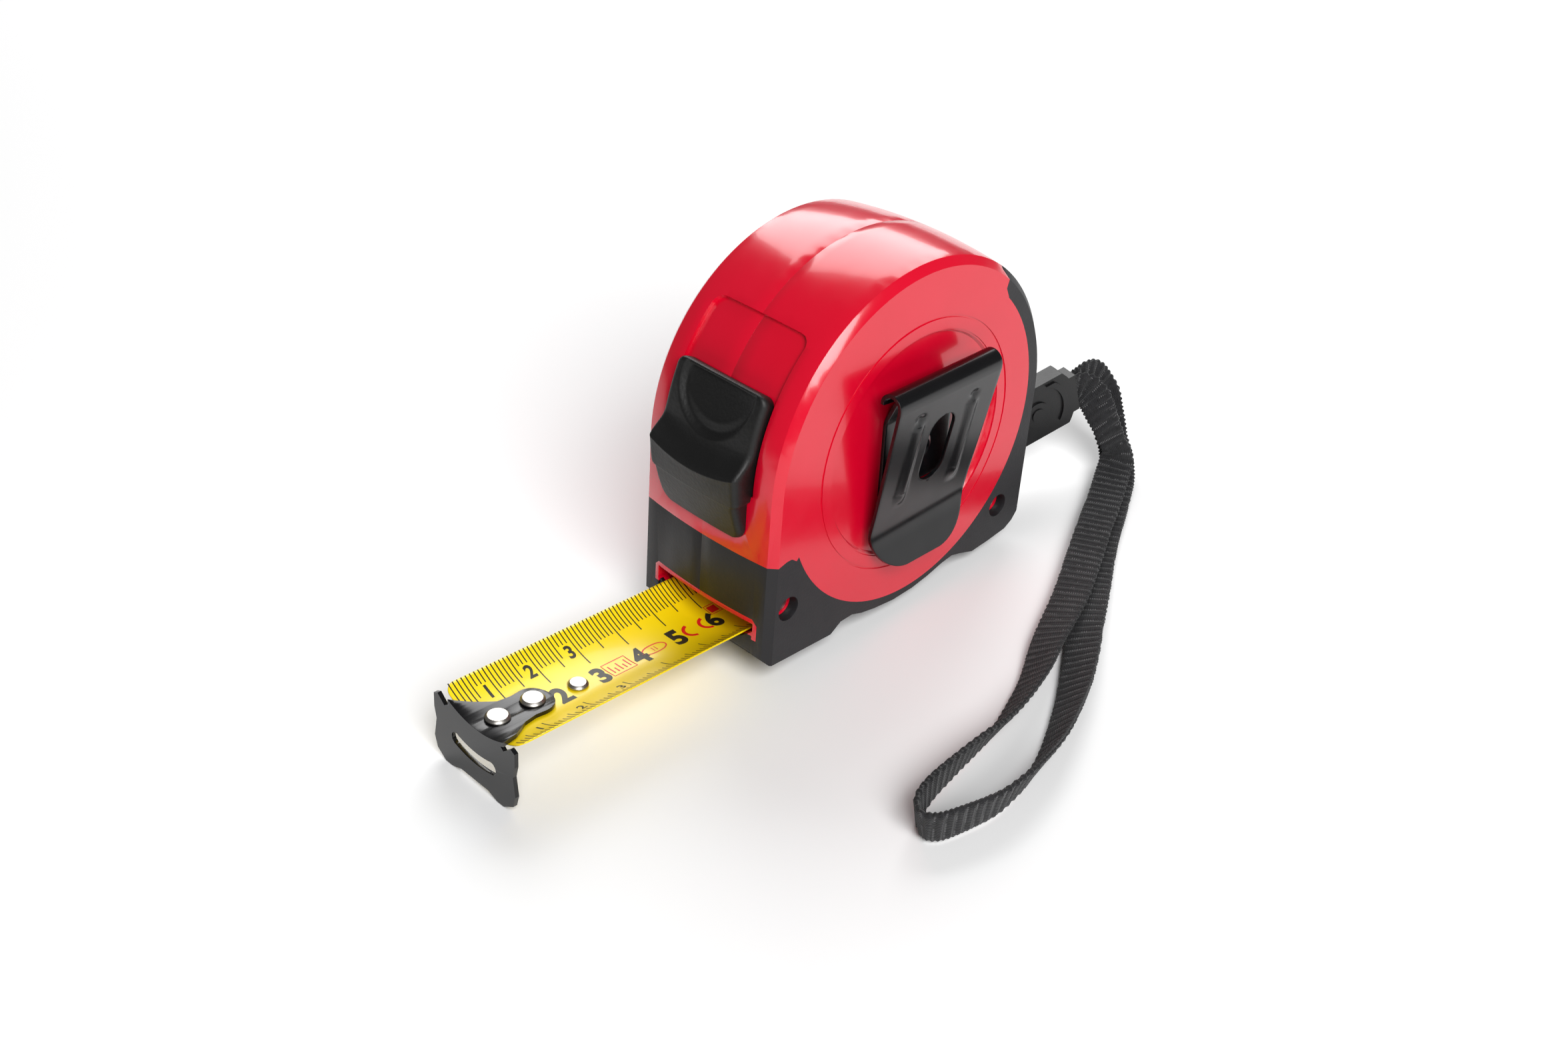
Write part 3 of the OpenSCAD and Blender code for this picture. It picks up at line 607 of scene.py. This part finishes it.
def build_lock():
    cols, round_r = 97, 1.3
    line = spline([(r, a, 0) for r, a in LOCK_LINE], 8)
    points, base = [], []
    for r, a, _ in line:
        top, foot = math.radians(LOCK_TOP - a) * 43, math.radians(a - LOCK_FOOT) * 41
        # the sides step in where the tab begins, and the corners are round
        w = LOCK_HALF - 0.8 / (1 + math.exp((a + 2.5) * 5))
        w -= corner_inset(top, 2.2) + corner_inset(foot, 3.0)
        # the tab runs over the case, and the rest stands in its track
        clear = 0.1 if a < -1.2 else -0.65
        for k in range(cols):
            t = 2 * k / (cols - 1) - 1
            u = w * math.copysign(1 - (1 - abs(t)) ** 1.35, t)
            # the ridge's crest bows down in the middle
            near_crest = math.exp(-((a - RIDGE_AT) / 5.5) ** 2)
            angle = a + near_crest * (2.6 * (u / LOCK_HALF) ** 2 - 1.7)
            f = ease((abs(u) - (w - round_r)) / round_r)
            edge = round_r * (1 - math.sqrt(1 - f ** 2))
            # the case's front is upright below the drum's axis
            low = barrel_r(u) / math.cos(math.radians(min(a, 0))) + clear
            crown = (BARREL_R - barrel_r(u)) * 0.6
            radius = max(r - edge - dish_depth(u, angle) - crown, low + 0.05)
            points.append(polar(radius, angle, u))
            base.append(polar(low, angle, u))
    lock = piece("lock_thumb_button", points + base, closed_sheet(len(line), cols), GRIP, "lock")
    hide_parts("lock_button")


build_lock()

# ---------------------------------------------------------------- belt clip
CLIP_T, CLIP_LEAN = 0.8, math.radians(1.7)
CLIP_Y = -18.1                                # the case's side face under it
ROLL_Y, ROLL_Z, ROLL_R = -24.1, 54.2, 2.3     # the rolled top, along the sheet's middle
ROLL_HALF, LEG_HALF = 15.2, 10                # half widths of the roll and of the leg behind it
SLOT_LOW, SLOT_HIGH, SLOT_R = 35.2, 44.2, 3.75
LIP_Z, LIP_CORNER, LIP_FLAT = 22.7, 9.9, 4.4  # the lip's round end, from this height down


def clip_at(x, y, z):
    """A point of the clip, which is turned a little out of true on its screw."""
    c, s, d = math.cos(CLIP_LEAN), math.sin(CLIP_LEAN), z - AXIS_H
    return stand((x * c - d * s, y, AXIS_H + x * s + d * c))


def clip_half(z):
    """Half the leaf's width at a height."""
    if z < LIP_Z:
        return LIP_FLAT + math.sqrt(max(0.0, LIP_CORNER ** 2 - (LIP_Z - z) ** 2))
    return LIP_FLAT + LIP_CORNER + 0.9 * ease((z - 27.5) / 25)


def clip_press(x, z):
    """Height of the ribs and dimples pressed in the leaf, outward."""
    if z > 51.4 or z < 26:
        return 0.0
    rib_x, rib_half = 8.1, 2.0
    d = abs(abs(x) - rib_x)
    height = 0.0
    if d < rib_half:
        run = ease((z - 28) / 1.8) * ease((48.7 - z) / 1.2)
        height = 0.75 * run * (0.5 + 0.5 * math.cos(math.pi * d / rib_half))
    dimple = math.hypot(d / 1.5, (z - 49.9) / 1.4)
    if dimple < 1:
        height -= 0.6 * (1 - dimple ** 2) ** 2
    return height


def slot_half(z):
    """Half the width of the slot in the leaf at a height."""
    d = max(0.0, SLOT_LOW - z, z - SLOT_HIGH)
    return math.sqrt(max(0.0, SLOT_R ** 2 - d ** 2)) if d < SLOT_R else 0.0


def clip_line():
    """The sheet's middle line as (y, z, on the leaf), from the leg on the case to the lip."""
    line = [(CLIP_Y - CLIP_T / 2, 29 + 16.4 * k / 10, False) for k in range(11)]
    line += [(-18.62, 46.4, False), (-18.95, 47.3, False), (-19.35, 48.2, False)]
    line += [(-19.35 - 2.3 * k / 5, 48.2 + 5.1 * k / 5, False) for k in range(1, 6)]
    for degrees in range(-8, 189, 7):
        a = math.radians(degrees)
        line.append((ROLL_Y + ROLL_R * math.cos(a), ROLL_Z + ROLL_R * math.sin(a), False))
    # down the leaf, with a row at each step of the slot's round ends
    top, low, knee = SLOT_HIGH + SLOT_R, SLOT_LOW - SLOT_R, 23.4
    arc = [SLOT_R * (1 - math.cos(math.pi / 2 * k / 10)) for k in range(11)]
    heights = [53.4 - (53.4 - top) * k / 16 for k in range(16)]
    heights += [top - drop for drop in arc]
    heights += [SLOT_HIGH - (SLOT_HIGH - SLOT_LOW) * k / 8 for k in range(1, 8)]
    heights += [low + drop for drop in reversed(arc)]
    heights += [low - (low - knee) * k / 9 for k in range(1, 10)]
    line += [(-21.5 - 4.87 * (z - 27.5) / 25.9, z, True) for z in heights]
    # round the knee and out along the lip
    line += [(-20.62, 22.8, True), (-20.57, 22.2, True), (-20.56, 21.6, True), (-20.6, 21, True),
             (-20.7, 20.3, True), (-20.86, 19.6, True), (-21.06, 18.9, True)]
    line += [(-21.06 - 0.36 * (18.9 - z), z, True)
             for z in (18, 17.1, 16.3, 15.5, 14.8, 14.2, 13.7, 13.3, 13.05, 12.9, 12.82)]
    return line


def build_clip():
    side = 22
    points, rows = [], []
    for y, z, leaf in clip_line():
        if leaf:
            half, gap = clip_half(z), slot_half(z)
        else:
            half, gap = (LEG_HALF if y > -21.7 and z < 53.7 else ROLL_HALF), 0.0
        xs = [-half + (half - gap) * k / side for k in range(side + 1)]
        xs += [gap + (half - gap) * k / side for k in range(side + 1)]
        rows.append(len(points))
        points += [clip_at(x, y - (clip_press(x, z) if leaf else 0.0), z) for x in xs]
    width = 2 * (side + 1)
    faces = [(a + k, b + k, b + k + 1, a + k + 1) for a, b in zip(rows, rows[1:])
             for k in range(width - 1) if k != side]
    clip = piece("belt_clip_sheet", points, faces, ENAMEL, None)
    weld = clip.modifiers.new("weld", "WELD")
    weld.merge_threshold = 2e-6
    solid = clip.modifiers.new("sheet", "SOLIDIFY")
    solid.thickness, solid.offset, solid.use_even_offset = CLIP_T * MM, 0, False
    round_edges(clip, 0.18, 60)
    done = solid_mesh(clip)
    clip.modifiers.clear()
    clip.data = done
    done.polygons.foreach_set("use_smooth", [True] * len(done.polygons))
    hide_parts("belt_clip", "belt_clip_leaf")
    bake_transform(clip)


build_clip()

# ---------------------------------------------------------------- CAD nodes that stay
KEPT = {
    RED: ("case_left", "case_right"),
    RUBBER: ("bumper_left", "bumper_right"),
    MOULDED: ("hook_stop", "strap_clasp", "clasp_stud", "lock_arm"),
    ENAMEL: ("clip_screw", "end_hook"),
    STEEL: ("case_screws", "spindle", "lanyard_pin", "power_spring", "blade_stiffener",
            "blade_rivets"),
    BRASS: ("drum_washers",),
    DRUM: ("drum", "drum_cover"),
    FELT: ("brake_pad",),
    YELLOW: ("wound_blade", "blade_feed"),
}
for material, names in KEPT.items():
    for name in names:
        node = nodes[name]
        node.data.materials.clear()
        node.data.materials.append(material)
        weld = node.modifiers.new("weld", "WELD")
        weld.merge_threshold = 1e-6
ROUNDED = {
    0.3: ("case_left", "case_right", "bumper_left", "bumper_right"),
    0.25: ("end_hook", "strap_clasp", "clip_screw"),
    0.12: ("blade_rivets", "clasp_stud", "case_screws", "hook_stop"),
}
for width, names in ROUNDED.items():
    for name in names:
        round_edges(nodes[name], width).harden_normals = True


# ---------------------------------------------------------------- studio
def studio():
    scene = bpy.context.scene
    scene.view_settings.view_transform = "Standard"
    scene.world = bpy.data.worlds.new("studio")
    scene.world.use_nodes = True
    background = scene.world.node_tree.nodes["Background"]
    background.inputs["Color"].default_value = (1, 1, 1, 1)
    background.inputs["Strength"].default_value = 0.12
    reach = 6
    corners = [(-reach, -reach, 0), (reach, -reach, 0), (reach, reach, 0), (-reach, reach, 0)]
    mesh = bpy.data.meshes.new("floor")
    mesh.from_pydata(corners, [], [(0, 1, 2, 3)])
    mesh.materials.append(Look("paper", (0.93, 0.93, 0.93), 0.9).material)
    floor = bpy.data.objects.new("floor", mesh)
    floor.location.z = -0.2 * MM
    scene.collection.objects.link(floor)
    aim = Vector((0, 0, 0.03))
    for name, place, size, power in (
            ("back", (0.75, 0.75, 0.85), 1.0, 15),
            ("key", (-0.44, -0.94, 0.94), 0.8, 20)):
        lamp = bpy.data.objects.new(name, bpy.data.lights.new(name, "AREA"))
        lamp.data.size, lamp.data.energy = size, power
        lamp.location = place
        lamp.rotation_euler = (aim - lamp.location).to_track_quat("-Z", "Y").to_euler()
        scene.collection.objects.link(lamp)


studio()
